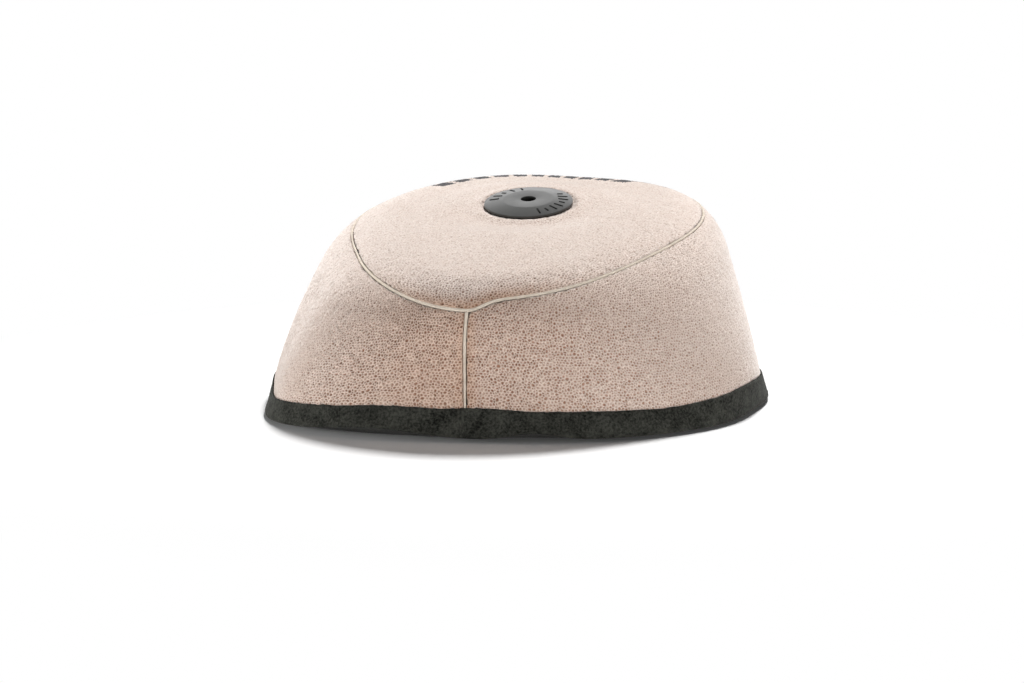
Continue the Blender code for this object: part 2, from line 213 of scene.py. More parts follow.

# Colours, in pairs that a grain blends; in the two foams the darker colour of the pair is painted shade in
# the pores
FOAM_AND_PORE_SHADE_COLOURS = ((0.96, 0.86, 0.785), (0.37, 0.205, 0.135))
FOAM_CLOUD = (0.97, 0.95, 0.94)
FOAM_WARM_AND_SHADE = (0.90, 0.74, 0.62)
FOAM_SHEEN = (1.0, 0.98, 0.96, 1.0)
INK_COLOURS = ((0.08, 0.08, 0.084), (0.19, 0.18, 0.18))
LINER_AND_PORE_SHADE_COLOURS = ((0.34, 0.27, 0.17), (0.68, 0.60, 0.46))
LINER_CLOUD = (0.94, 0.92, 0.88)
GLUE_COLOURS = ((0.60, 0.52, 0.43), (0.73, 0.65, 0.55))
FLANGE_COLOURS = ((0.0025, 0.0027, 0.002), (0.066, 0.067, 0.057))
PLASTIC_COLOURS = ((0.014, 0.014, 0.0125), (0.022, 0.022, 0.020))
MARK_COLOURS = ((0.006, 0.006, 0.006), (0.014, 0.014, 0.013))

# Camera and light
PHOTO_WIDTH = 1024
CAMERA_AZIMUTH = 11.875
CAMERA_ELEVATION = 9.48
CAMERA_DISTANCE = 0.9703
CAMERA_RIGHT = -0.005295
CAMERA_UP = 0.023203
CAMERA_FOCAL_PIXELS = 2078.4
CAMERA_NEAR = 0.01
SENSOR_WIDTH = 36.0
WORLD_LIGHT = 0.06
LAMP_AIM = (0.0, 0.0, 0.04)
LAMPS = (
    ("key", (0.15, 0.99, 1.65), (0.36, 0.36), 48.5, False),
    ("behind", (-0.36, 1.65, 0.9), (2.0, 0.9), 4.2, True),
    ("front_card", (1.2, -1.22, 0.14), (1.2, 0.28), 14.5, False),
    ("left_card", (-1.6, -0.4, 0.2), (1.2, 0.35), 23.0, False),
)
FLOOR_HALF = 6.0
FLOOR_GAP = 0.0002
FLOOR_BOUNCE = (0.85, 0.85, 0.85)
FLOOR_SEEN = (0.88, 0.88, 0.88)
FLOOR_FADE = (0.2, 0.32)


# Form of the foam

def lobed_plan(angle, width, length, shift_y, harmonics):
    """Points of a lobed outline; angle 0 is the front (-Y) and it grows towards +X."""
    def raw(turn):
        radius = np.ones_like(turn)
        for order, cosine, sine in harmonics:
            radius = radius + cosine * np.cos(order * turn) + sine * np.sin(order * turn)
        return radius * np.sin(turn), -radius * np.cos(turn)

    full_x, full_y = raw(np.linspace(0.0, FULL_TURN, OUTLINE_SAMPLES))
    x, y = raw(np.asarray(angle, dtype=float))
    x = (x - (full_x.min() + full_x.max()) / 2.0) / np.ptp(full_x) * width
    y = (y - (full_y.min() + full_y.max()) / 2.0) / np.ptp(full_y) * length + shift_y
    return np.stack((x, y), axis=-1)


def turn_from_front(angle):
    """Angle from the front, between minus and plus half a turn."""
    return (np.asarray(angle, dtype=float) + math.pi) % FULL_TURN - math.pi


def bell(distance, width):
    """Soft bell that is one at no distance."""
    return np.exp(-(distance / width) ** 2)


def bumps(angle, shape):
    """Sum of soft bumps round the filter, each with its middle and width in degrees and its size."""
    turn = turn_from_front(angle)
    total = np.zeros_like(turn)
    for middle, width, size in shape:
        total = total + size * bell(turn - math.radians(middle), math.radians(width))
    return total


def base_plan(angle):
    """Outline of the foam where it stands on the flange."""
    plan = lobed_plan(angle, BASE_WIDTH, BASE_LENGTH, 0.0, BASE_HARMONICS)
    return plan * (1.0 + bumps(angle, BASE_TRIMS))[..., None]


def edge_plan(angle):
    """Outline of the sharp edge between wall and top, which the shoulder rounds off."""
    return lobed_plan(angle, EDGE_WIDTH, EDGE_LENGTH, EDGE_SHIFT_Y, EDGE_HARMONICS)


def lift(plan, height):
    """Plan points with a height."""
    return np.concatenate((plan, np.broadcast_to(height, plan.shape[:-1])[..., None]), axis=-1)


def unit(vectors):
    """Vectors scaled to length one."""
    return vectors / np.linalg.norm(vectors, axis=-1, keepdims=True)


def smooth_step(value):
    """Eased ramp from 0 to 1."""
    value = np.clip(value, 0.0, 1.0)
    return value * value * (3.0 - 2.0 * value)


def panel_point(angle, distance):
    """Point of the top panel at a plan distance from the hub, with the dimple under the disc."""
    spoke = edge_plan(angle) - HUB_PLAN
    reach = np.linalg.norm(spoke, axis=-1)
    flat = smooth_step((DIMPLE_BLEND_RADIUS - distance) / (DIMPLE_BLEND_RADIUS - DIMPLE_FLAT_RADIUS))
    offset = unit(spoke) * distance[..., None]
    shorten = 1.0 - (1.0 - math.cos(math.radians(DISC_TILT))) * flat
    offset = np.stack((offset[..., 0], offset[..., 1] * shorten), axis=-1)
    plan = HUB_PLAN + offset
    share = distance / reach
    crown = PANEL_CROWN * (1.0 - share ** 2) + PANEL_SIDE_RISE * np.sin(angle) ** 2 * share ** 3
    sheet = PANEL_HEIGHT + PANEL_SLOPE * plan[..., 1] + crown
    dimple = DISC_HEIGHT + math.tan(math.radians(DISC_TILT)) * offset[..., 1]
    return lift(plan, sheet + (dimple - sheet) * flat)


def front_lean(angle, run):
    """Small turn that stands the front seam upright, fading away from it."""
    low, high = FRONT_LEAN
    lean = low + (high - low) * np.clip(run / SEAM_MIDDLE, 0.0, 1.0)
    return lean * bell(turn_from_front(angle), FRONT_LEAN_WIDTH)


def foam_surface(angle, run):
    """Outside of the foam: run 0 to 1 climbs the wall, 1 to 2 the shoulder, 2 to 3 crosses to the hub."""
    angle, run = np.broadcast_arrays(np.asarray(angle, dtype=float), np.asarray(run, dtype=float))
    angle = angle + front_lean(angle, run)
    reach = np.linalg.norm(edge_plan(angle) - HUB_PLAN, axis=-1)
    base = lift(base_plan(angle), FOAM_BASE + bumps(angle, BASE_WAVES))
    edge = panel_point(angle, reach)
    low = edge + unit(base - edge) * SHOULDER_REACH
    high = panel_point(angle, reach - SHOULDER_REACH)

    share = np.clip(run / SHOULDER_END, 0.0, 1.0)
    lean = np.linalg.norm(base_plan(angle) - edge_plan(angle), axis=-1)
    swell = WALL_SWELL * lean * (1.0 - WALL_SWELL_LEFT * np.sin(angle)) * 4.0 * share * (1.0 - share)
    outward = np.stack((np.sin(angle), -np.cos(angle), np.zeros_like(angle)), axis=-1)
    swelling = outward * swell[..., None]

    climb = np.clip(run, 0.0, WALL_END)[..., None]
    wall = base + (low - base) * climb + swelling
    turn = np.clip(run - WALL_END, 0.0, 1.0)[..., None]
    shoulder = (1.0 - turn) ** 2 * low + 2.0 * turn * (1.0 - turn) * edge + turn ** 2 * high + swelling

    across = np.clip((run - SHOULDER_END) / (DIMPLE_START - SHOULDER_END), 0.0, 1.0)
    sunk = np.clip((run - DIMPLE_START) / (PANEL_END - DIMPLE_START), 0.0, 1.0)
    distance = (reach - SHOULDER_REACH) * (1.0 - across) + DIMPLE_FLAT_RADIUS * across
    distance = distance + (HUB_HOLE_RADIUS - DIMPLE_FLAT_RADIUS) * sunk
    top = panel_point(angle, distance)

    on_wall = (run < WALL_END)[..., None]
    on_shoulder = (run < SHOULDER_END)[..., None]
    return np.where(on_wall, wall, np.where(on_shoulder, shoulder, top))


def foam_normal(angle, run):
    """Outward normal of the foam; at the base it lies level."""
    angle, run = np.broadcast_arrays(np.asarray(angle, dtype=float), np.asarray(run, dtype=float))
    around = foam_surface(angle + SLOPE_STEP, run) - foam_surface(angle - SLOPE_STEP, run)
    below = foam_surface(angle, np.clip(run - SLOPE_STEP, 0.0, PANEL_END))
    above = foam_surface(angle, np.clip(run + SLOPE_STEP, 0.0, PANEL_END))
    normal = unit(np.cross(around, above - below))
    normal[..., 2] *= smooth_step(run / BASE_BLEND)
    return unit(normal)


def foam_point(angle, run, depth):
    """Points at a depth below the outside of the foam."""
    return foam_surface(angle, run) - foam_normal(angle, run) * np.asarray(depth)[..., None]


def run_length(angle, run):
    """Metres of foam surface to one unit of run."""
    ahead = foam_surface(angle, run + SLOPE_STEP)
    behind = foam_surface(angle, run - SLOPE_STEP)
    return np.linalg.norm(ahead - behind, axis=-1) / (2.0 * SLOPE_STEP)


def seam_run(angle):
    """Where the top seam crosses the shoulder, with its dip at the front."""
    turn = turn_from_front(angle)
    width = np.where(turn < 0.0, math.radians(SEAM_DIP_LEFT), math.radians(SEAM_DIP_RIGHT))
    return SEAM_MIDDLE - SEAM_DIP * bell(turn, width) / run_length(angle, SEAM_MIDDLE)


def seam_offset(angle, distance):
    """Stations beside the top seam, at a distance along the surface."""
    middle = seam_run(angle)
    return middle + distance / run_length(angle, middle)


# Flat layouts of the foam sheets, as cut before gluing

def spaced_line(start, end, spacing):
    """Evenly spaced points from start to end, without the end."""
    start, end = np.asarray(start), np.asarray(end)
    count = max(1, round(np.linalg.norm(end - start) / spacing))
    return start + (end - start) * (np.arange(count) / count)[:, None]


class FlatSheet:
    """A foam sheet laid flat: across it the angle changes, and along it the run, both in metres of foam."""

    printed = False

    def __init__(self, angles, first_run, last_run):
        shares = np.linspace(0.0, 1.0, MAP_ROWS)
        runs = first_run[:, None] + (last_run - first_run)[:, None] * shares
        points = foam_surface(angles[:, None], runs)
        steps = np.linalg.norm(np.diff(points, axis=1), axis=-1)
        lengths = np.concatenate((np.zeros((len(angles), 1)), np.cumsum(steps, axis=1)), axis=1)
        self.angles = angles
        self.heights = lengths[:, -1]
        middle = points[:, MAP_ROWS // 2]
        widths = np.linalg.norm(np.diff(middle, axis=0), axis=-1)
        self.places = np.concatenate(([0.0], np.cumsum(widths)))
        self.width = self.places[-1]
        self.runs = np.array([np.interp(shares * row[-1], row, run) for row, run in zip(lengths, runs)])

    def laid(self, points):
        """Place across and height along the sheet of flat points."""
        return points[:, 0], points[:, 1]

    def height_at(self, place):
        """Height of the sheet at a place across it."""
        return np.interp(place, self.places, self.heights)

    def to_foam(self, points):
        """Angle and run of flat points."""
        place, height = self.laid(points)
        column = np.interp(place, self.places, np.arange(len(self.places)))
        left = np.clip(column.astype(int), 0, len(self.places) - 2)
        share = np.clip(height / self.height_at(place), 0.0, 1.0) * (MAP_ROWS - 1)
        low = np.clip(share.astype(int), 0, MAP_ROWS - 2)
        across, along = column - left, share - low
        below = self.runs[left, low] * (1.0 - across) + self.runs[left + 1, low] * across
        above = self.runs[left, low + 1] * (1.0 - across) + self.runs[left + 1, low + 1] * across
        return np.interp(place, self.places, self.angles), below * (1.0 - along) + above * along

    def to_seam(self, points):
        """Distance of flat points from the top seam."""
        place, height = self.laid(points)
        return self.height_at(place) - height

    def is_inside(self, points, margin):
        """Whether flat points lie inside the rims by more than a margin."""
        place, height = self.laid(points)
        return (height > margin) & (height < self.height_at(place) - margin)


class SideBand(FlatSheet):
    """Foam band round the side, from base to top seam, open at the front."""

    def __init__(self, slit):
        end = slit / np.linalg.norm(base_plan(0.0))
        angles = np.linspace(end, FULL_TURN - end, MAP_COLUMNS)
        super().__init__(angles, np.zeros(MAP_COLUMNS), seam_offset(angles, -slit))

    def to_front(self, points):
        """Distance of flat points from the front seam."""
        return np.minimum(points[:, 0], self.width - points[:, 0])

    def is_inside(self, points, margin):
        """Whether flat points lie inside the rims by more than a margin."""
        return super().is_inside(points, margin) & (self.to_front(points) > margin)

    def outline(self, spacing):
        """The one rim: base, one end, seam edge, other end."""
        base = spaced_line((0.0, 0.0), (self.width, 0.0), spacing)
        end = spaced_line((self.width, 0.0), (self.width, self.heights[-1]), spacing)
        places = np.linspace(self.width, 0.0, len(base), endpoint=False)
        seam = np.stack((places, self.height_at(places)), axis=-1)
        start = spaced_line((0.0, self.heights[0]), (0.0, 0.0), spacing)
        return [np.concatenate((base, end, seam, start))]

    def pressed(self, points):
        """How far the front is pressed in: a little beside the seams."""
        return SEAM_PINCH * bell(np.minimum(self.to_seam(points), self.to_front(points)), SEAM_PINCH_WIDTH)

    def warmth_and_shade(self, points):
        """Strength of the warmer tone beside the seams and of the painted shade over the front wall."""
        aside = self.to_front(points)
        is_right = points[:, 0] < self.width / 2.0
        return np.maximum.reduce((
            FRONT_WARMTH * bell(aside, FRONT_WARMTH_WIDTH),
            SEAM_WARMTH * bell(self.to_seam(points), SEAM_WARMTH_WIDTH) * bell(aside, SEAM_WARMTH_SPAN),
            # Broad warmer, darker tone painted over the front wall as shade, stronger on the left, where less
            # light falls
            np.where(is_right, BROAD_SHADE_RIGHT, BROAD_SHADE_LEFT) * bell(aside, BROAD_SHADE_WIDTH)))


class TopPanel(FlatSheet):
    """Foam panel on top, from the hub's hole to the seam, laid out round the hub."""

    printed = True

    def __init__(self, slit):
        angles = np.linspace(0.0, FULL_TURN, MAP_COLUMNS)
        super().__init__(angles, np.full(MAP_COLUMNS, PANEL_END), seam_offset(angles, slit))
        spokes = edge_plan(angles) - HUB_PLAN
        self.bearings = np.unwrap(np.arctan2(spokes[:, 0], -spokes[:, 1]))

    def laid(self, points):
        """Place across and height along the sheet of flat points."""
        bearing = np.arctan2(points[:, 0], -points[:, 1])
        bearing = np.where(bearing < self.bearings[0], bearing + FULL_TURN, bearing)
        place = np.interp(bearing, self.bearings, self.places)
        return place, np.linalg.norm(points, axis=-1) - HUB_HOLE_RADIUS

    def rim(self, count, share):
        """Points round the hub, a share of the way from its hole to the seam."""
        turns = np.linspace(self.bearings[0], self.bearings[-1], count, endpoint=False)
        radius = HUB_HOLE_RADIUS + share * self.height_at(np.interp(turns, self.bearings, self.places))
        return np.stack((np.sin(turns) * radius, -np.cos(turns) * radius), axis=-1)

    def outline(self, spacing):
        """The two rims: the seam edge and the hub's hole."""
        seam = self.rim(round(PANEL_RIM_DENSITY * self.width / spacing), 1.0)
        hole = self.rim(round(FULL_TURN * HUB_HOLE_RADIUS / spacing), 0.0)
        return [seam, hole[::-1]]

    def pressed(self, points):
        """How far the front is pressed in: a little beside the seam, and out again round the disc."""
        reach = np.linalg.norm(points, axis=-1)
        swell = DISC_SWELL * smooth_step((reach - DISC_SWELL_START) / DISC_SWELL_RAMP)
        swell = swell * smooth_step((DISC_SWELL_END - reach) / DISC_SWELL_BLEND)
        return SEAM_PINCH * bell(self.to_seam(points), SEAM_PINCH_WIDTH) - swell

    def warmth_and_shade(self, points):
        """Strength of the warmer tone."""
        bearing = np.arctan2(points[:, 0], -points[:, 1])
        return bell(self.to_seam(points), PANEL_WARMTH_WIDTH) * bell(bearing, PANEL_WARMTH_SPAN)

    def ink(self, points):
        """How far inside a printed bar flat points lie, in metres."""
        step = (np.degrees(self.to_foam(points)[0]) % 360.0 - PRINT_START) / PRINT_PITCH
        block = np.clip(np.floor(step), 0.0, PRINT_BLOCKS - 1.0)
        pitch = math.radians(PRINT_PITCH) * np.linalg.norm(points, axis=-1)
        across = (PRINT_SHARE / 2.0 - np.abs(step - block - PRINT_SHARE / 2.0)) * pitch
        to_seam = self.to_seam(points)
        return np.minimum(across, np.minimum(to_seam - PRINT_NEAR, PRINT_FAR - to_seam))


def loose_points(low, high, spacing, jitter, seed):
    """Staggered rows of points over a rectangle, each moved a little at random."""
    draw = np.random.default_rng(seed)
    rows = np.arange(low[1], high[1], spacing * ROW_SHARE)
    across = np.arange(low[0], high[0], spacing)
    x, y = np.meshgrid(across, rows)
    x = x + np.where(np.arange(len(rows)) % 2 == 0, 0.0, spacing / 2.0)[:, None]
    points = np.stack((x.ravel(), y.ravel()), axis=-1)
    return points + draw.uniform(-jitter, jitter, points.shape) * spacing


def triangulate(rims, loose, sheet):
    """Triangles over a flat sheet inside its closed rims, with loose points between them."""
    points = np.concatenate(rims + [loose])
    edges = []
    start = 0
    for rim in rims:
        count = len(rim)
        edges += [(start + index, start + (index + 1) % count) for index in range(count)]
        start += count
    result = geometry.delaunay_2d_cdt([Vector(point) for point in points], edges, [], 0, MERGE_DISTANCE)
    placed = np.array([tuple(point) for point in result[0]])
    faces = np.array([tuple(face) for face in result[2]])
    order = np.array([origin[0] if origin else -1 for origin in result[3]])
    if (order < 0).any() or len(placed) != len(points):
        raise RuntimeError("the outline of a foam sheet crosses itself")
    faces = order[faces[sheet.is_inside(placed[faces].mean(axis=1), 0.0)]]
    corners = points[faces]
    turn = np.cross(corners[:, 1] - corners[:, 0], corners[:, 2] - corners[:, 0])
    faces[turn < 0.0] = faces[turn < 0.0][:, ::-1]
    return points, faces


# Meshes and geometry nodes

def mesh_from(name, points, faces):
    """Mesh from arrays of points and of triangles or quads."""
    mesh = bpy.data.meshes.new(name)
    points = np.asarray(points, dtype=np.float32)
    faces = np.asarray(faces, dtype=np.int32)
    mesh.vertices.add(len(points))
    mesh.vertices.foreach_set("co", points.ravel())
    mesh.loops.add(faces.size)
    mesh.loops.foreach_set("vertex_index", faces.ravel())
    mesh.polygons.add(len(faces))
    mesh.polygons.foreach_set("loop_start", np.arange(len(faces), dtype=np.int32) * faces.shape[1])
    mesh.update(calc_edges=True)
    mesh.validate()
    return mesh


def swept_faces(rings, sides, closed):
    """Quads between neighbouring rings of points with the same number of sides."""
    ring, side = np.meshgrid(np.arange(rings if closed else rings - 1), np.arange(sides), indexing="ij")
    after, beside = (ring + 1) % rings, (side + 1) % sides
    corners = ((ring, side), (ring, beside), (after, beside), (after, side))
    return np.stack([row * sides + column for row, column in corners], axis=-1).reshape(-1, 4)


def new_piece(name, data):
    """Object of a mesh, lamp or camera, linked to the scene."""
    piece = bpy.data.objects.new(name, data)
    bpy.context.scene.collection.objects.link(piece)
    return piece


def line_piece(name, points, edges, **values):
    """Points and edges without faces, with numbers stored for each point."""
    mesh = bpy.data.meshes.new(name)
    mesh.from_pydata([tuple(point) for point in points], edges, [])
    for label, numbers in values.items():
        write_values(mesh, label, numbers)
    return new_piece(name, mesh)


def write_values(mesh, name, values, domain="POINT"):
    """Store one number for each point or face of a mesh."""
    mesh.attributes.new(name, "FLOAT", domain).data.foreach_set("value", np.asarray(values, np.float32))


def read_values(mesh, name):
    """The numbers stored under a name."""
    stored = mesh.attributes[name].data
    values = np.zeros(len(stored), dtype=np.float32)
    stored.foreach_get("value", values)
    return values


class Faces:
    """Corners of a mesh's faces as arrays."""

    def __init__(self, mesh):
        self.first = np.zeros(len(mesh.polygons), dtype=np.int32)
        self.count = np.zeros(len(mesh.polygons), dtype=np.int32)
        self.vertex = np.zeros(len(mesh.loops), dtype=np.int32)
        mesh.polygons.foreach_get("loop_start", self.first)
        mesh.polygons.foreach_get("loop_total", self.count)
        mesh.loops.foreach_get("vertex_index", self.vertex)
        self.face = np.repeat(np.arange(len(self.first)), self.count)

    def over(self, rule, values):
        """A rule, such as the sum or the lowest, over the values of each face's points."""
        return rule.reduceat(values[self.vertex], self.first)


class Nodes:
    """A node tree built step by step."""

    def __init__(self, tree):
        self.tree = tree

    def add(self, kind, links=None, **settings):
        """A node with its settings, and its inputs linked or set by identifier or position."""
        node = self.tree.nodes.new(kind)
        for key, value in settings.items():
            setattr(node, key, value)
        named = {socket.identifier: socket for socket in node.inputs}
        for key, value in (links or {}).items():
            socket = node.inputs[key] if isinstance(key, int) else named[key]
            if isinstance(value, bpy.types.NodeSocket):
                self.tree.links.new(value, socket)
            else:
                socket.default_value = value
        return node

    def output(self, node, identifier):
        """Output of a node whose outputs share a name."""
        return next(socket for socket in node.outputs if socket.identifier == identifier)

    def math(self, operation, first, second):
        """A sum, product or other rule of two numbers."""
        node = self.add("ShaderNodeMath", {"Value": first, "Value_001": second}, operation=operation)
        return node.outputs[0]

    def vector(self, operation, vector, **links):
        """A rule of vectors."""
        return self.add("ShaderNodeVectorMath", {"Vector": vector, **links}, operation=operation)

    def spread(self, value, low, high, to_low=0.0, to_high=1.0, **settings):
        """Map a range of numbers to another, clamped."""
        return self.add("ShaderNodeMapRange", {
            "Value": value, "From Min": low, "From Max": high, "To Min": to_low, "To Max": to_high},
            **settings).outputs[0]

    def mix(self, factor, first, second, blend="MIX"):
        """Mix of two colours."""
        def colour(value):
            return value if isinstance(value, bpy.types.NodeSocket) else (*value, 1.0)

        links = {"Factor_Float": factor, "A_Color": colour(first), "B_Color": colour(second)}
        node = self.add("ShaderNodeMix", links, data_type="RGBA", blend_type=blend)
        return self.output(node, "Result_Color")


class GrowthTree(Nodes):
    """A geometry node tree with named inputs."""

    def __init__(self, name, **inputs):
        super().__init__(bpy.data.node_groups.new(name, "GeometryNodeTree"))
        sockets = [("Geometry", "OUTPUT", "Geometry"), ("Geometry", "INPUT", "Geometry")]
        sockets += [(label.replace("_", " "), "INPUT", kind) for label, kind in inputs.items()]
        for label, way, kind in sockets:
            self.tree.interface.new_socket(label, in_out=way, socket_type="NodeSocket" + kind)
        self.given = self.tree.nodes.new("NodeGroupInput").outputs

    def attribute(self, name):
        """Reader of a stored number."""
        return self.add("GeometryNodeInputNamedAttribute", {"Name": name}).outputs["Attribute"]

    def store(self, shape, name, value, domain):
        """The shape with a number stored on its points or faces."""
        return self.add("GeometryNodeStoreNamedAttribute", {"Geometry": shape, "Name": name, "Value": value},
                        data_type="FLOAT", domain=domain).outputs[0]

    def random(self, low, high, seed):
        """A random number for each element."""
        node = self.add("FunctionNodeRandomValue", {"Min_001": low, "Max_001": high, "Seed": seed})
        return self.output(node, "Value_001")

    def finish(self, result, material):
        """Realize, set the material and end the tree."""
        real = self.add("GeometryNodeRealizeInstances", {"Geometry": result})
        smooth = self.add("GeometryNodeSetShadeSmooth", {"Geometry": real.outputs[0]})
        painted = self.add("GeometryNodeSetMaterial", {"Geometry": smooth.outputs[0], "Material": material})
        self.add("NodeGroupOutput", {0: painted.outputs[0]})
        return self.tree


def grow(piece, tree, values):
    """Run a node tree on a piece and keep the result as a plain mesh."""
    modifier = piece.modifiers.new(tree.name, "NODES")
    modifier.node_group = tree
    for socket in tree.interface.items_tree:
        if socket.in_out == "INPUT" and socket.name in values:
            modifier[socket.identifier] = values[socket.name]
    evaluated = piece.evaluated_get(bpy.context.evaluated_depsgraph_get())
    mesh = bpy.data.meshes.new_from_object(evaluated)
    piece.modifiers.remove(modifier)
    piece.data = mesh
    return piece


def pore_tree():
    """Turns the triangles of a foam sheet into open cells, each sunk to a small floor painted dark as the
    shade inside the cell.
    """
    nodes = GrowthTree("foam_pores", Shallow="Float", Deep="Float", Narrow="Float", Wide="Float", Nap="Float",
                       Seed="Int", Foam="Material")
    given, seed = nodes.given, nodes.given["Seed"]
    cells = nodes.add("GeometryNodeDualMesh", {"Mesh": given["Geometry"]})
    porous = nodes.attribute("porous")
    nap = nodes.math("MULTIPLY", nodes.random(-1.0, 1.0, seed), given["Nap"])
    offset = nodes.vector("SCALE", nodes.add("GeometryNodeInputNormal").outputs[0],
                          Scale=nodes.math("MULTIPLY", nap, porous))
    rough = nodes.add("GeometryNodeSetPosition", {"Geometry": cells.outputs[0], "Offset": offset.outputs[0]})
    drawn = nodes.store(rough.outputs[0], "cell", nodes.random(0.0, 1.0, seed), "FACE")
    cell = nodes.attribute("cell")
    reach = nodes.math("SUBTRACT", given["Deep"], given["Shallow"])
    depth = nodes.math("ADD", given["Shallow"], nodes.math("MULTIPLY", reach, cell))
    sunk = nodes.add("GeometryNodeExtrudeMesh", {
        "Mesh": drawn, "Selection": nodes.math("GREATER_THAN", porous, 0.5),
        "Offset Scale": nodes.math("MULTIPLY", depth, -1.0), "Individual": True})
    floor = sunk.outputs["Top"]
    narrowed = nodes.add("GeometryNodeScaleElements", {
        "Geometry": sunk.outputs["Mesh"], "Selection": floor,
        "Scale": nodes.random(given["Narrow"], given["Wide"], seed)})
    # The sunk floors get a painted shade, darker in some cells than in others
    dark = nodes.math("ADD", PORE_SHADE[0], nodes.math("MULTIPLY", cell, PORE_SHADE[1]))
    marked = nodes.store(narrowed.outputs[0], "pore_shade", nodes.math("MULTIPLY", floor, dark), "POINT")
    return nodes.finish(marked, given["Foam"])


def bead_tree():
    """Turns a line into a bead of glue with an uneven width."""
    nodes = GrowthTree("glue_bead", Radius="Float", Unevenness="Float", Wander="Float", Lump_Size="Float",
                       Sides="Int", Glue="Material")
    given = nodes.given
    line = nodes.add("GeometryNodeMeshToCurve", {"Mesh": given["Geometry"]})
    scale = nodes.math("DIVIDE", 1.0, given["Lump Size"])
    lumps = nodes.add("ShaderNodeTexNoise", {"Scale": scale, "Detail": 2.0})
    swing = nodes.math("MULTIPLY", nodes.math("SUBTRACT", lumps.outputs["Fac"], 0.5), 2.0)
    factor = nodes.math("ADD", 1.0, nodes.math("MULTIPLY", swing, given["Unevenness"]))
    radius = nodes.math("MULTIPLY", nodes.math("MULTIPLY", factor, given["Radius"]), nodes.attribute("width"))
    centred = nodes.vector("SUBTRACT", lumps.outputs["Color"], Vector_001=(0.5, 0.5, 0.5))
    shift = nodes.vector("SCALE", centred.outputs[0], Scale=given["Wander"])
    moved = nodes.add("GeometryNodeSetPosition", {"Geometry": line.outputs[0], "Offset": shift.outputs[0]})
    ring = nodes.add("GeometryNodeCurvePrimitiveCircle", {"Resolution": given["Sides"], "Radius": 1.0})
    bead = nodes.add("GeometryNodeCurveToMesh", {
        "Curve": moved.outputs[0], "Profile Curve": ring.outputs["Curve"], "Scale": radius,
        "Fill Caps": True})
    return nodes.finish(bead.outputs[0], given["Glue"])


def mark_tree():
    """Sets a small block on every point of a line, turned and scaled as the point asks."""
    nodes = GrowthTree("disc_marks", Length="Float", Breadth="Float", Height="Float", Plastic="Material")
    given = nodes.given
    size = nodes.add("ShaderNodeCombineXYZ", {
        "X": given["Length"], "Y": given["Breadth"], "Z": given["Height"]})
    block = nodes.add("GeometryNodeMeshCube", {"Size": size.outputs[0]})
    turn = nodes.add("ShaderNodeCombineXYZ", {"Y": nodes.attribute("lean"), "Z": nodes.attribute("turn")})
    rotation = nodes.add("FunctionNodeEulerToRotation", {"Euler": turn.outputs[0]})
    scale = nodes.add("ShaderNodeCombineXYZ", {"X": nodes.attribute("stretch"), "Y": 1.0, "Z": 1.0})
    marks = nodes.add("GeometryNodeInstanceOnPoints", {
        "Points": given["Geometry"], "Instance": block.outputs["Mesh"],
        "Rotation": rotation.outputs[0], "Scale": scale.outputs[0]})
    return nodes.finish(marks.outputs[0], given["Plastic"])


# Materials; sizes of grain are in metres

class Paint(Nodes):
    """A Principled material built node by node."""

    def __init__(self, name, **sockets):
        self.material = bpy.data.materials.new(name)
        self.material.use_nodes = True
        super().__init__(self.material.node_tree)
        self.shader = self.tree.nodes["Principled BSDF"]
        for key, value in sockets.items():
            self.shader.inputs[key.replace("_", " ")].default_value = value
        self.place = self.add("ShaderNodeTexCoord").outputs["Object"]

    def noise(self, size, detail=2.0, roughness=0.5):
        """Noise whose lumps have about a size."""
        links = {"Vector": self.place, "Scale": 1.0 / size, "Detail": detail, "Roughness": roughness}
        return self.add("ShaderNodeTexNoise", links).outputs["Fac"]

    def cells(self, size):
        """Distance from the middle of cells of a size."""
        links = {"Vector": self.place, "Scale": 1.0 / size}
        return self.add("ShaderNodeTexVoronoi", links).outputs["Distance"]

    def attribute(self, name):
        """A number stored on the mesh."""
        return self.add("ShaderNodeAttribute", attribute_name=name).outputs["Fac"]

    def link(self, **sockets):
        """Link sockets of the shader."""
        for key, value in sockets.items():
            self.tree.links.new(value, self.shader.inputs[key.replace("_", " ")])

    def bump(self, height, distance):
        """Relief too fine for the mesh."""
        self.link(Normal=self.add("ShaderNodeBump", {"Height": height, "Distance": distance}).outputs[0])


def coarse_foam_paint():
    """Pale pink open-cell foam: light struts round pore floors painted brown as their shade, warmer beside
    the front seams, with a broad painted shade over the front wall.
    """
    paint = Paint("coarse_foam_pores", Roughness=0.95, Sheen_Weight=0.7, Sheen_Roughness=0.5,
                  Sheen_Tint=FOAM_SHEEN, Specular_IOR_Level=0.1)
    struts = paint.noise(0.00075, 3.0, 0.7)
    # Painted shade of the sunk floors, roughened by the struts' grain, blends the strut colour towards the
    # brown shade colour
    depth = paint.math("ADD", paint.attribute("pore_shade"), paint.spread(struts, 0.3, 0.7, -0.3, 0.3))
    foam = paint.mix(paint.spread(depth, -0.3, 1.0), *FOAM_AND_PORE_SHADE_COLOURS)
    foam = paint.mix(paint.spread(paint.noise(0.022, 3.0), 0.3, 0.7), foam, FOAM_CLOUD, "MULTIPLY")
    # Multiplies in the warmer tone beside the seams and the painted shade over the front wall
    paint.link(Base_Color=paint.mix(paint.attribute("warmth_and_shade"), foam, FOAM_WARM_AND_SHADE, "MULTIPLY"))
    paint.bump(struts, 0.00015)
    return paint.material


def ink_paint():
    """Dark grey ink soaked into the struts of the foam."""
    paint = Paint("printed_foam", Roughness=0.9, Specular_IOR_Level=0.1)
    soaked = paint.spread(paint.noise(0.0012, 3.0, 0.6), 0.35, 0.7)
    paint.link(Base_Color=paint.mix(soaked, *INK_COLOURS))
    paint.bump(soaked, 0.0001)
    return paint.material


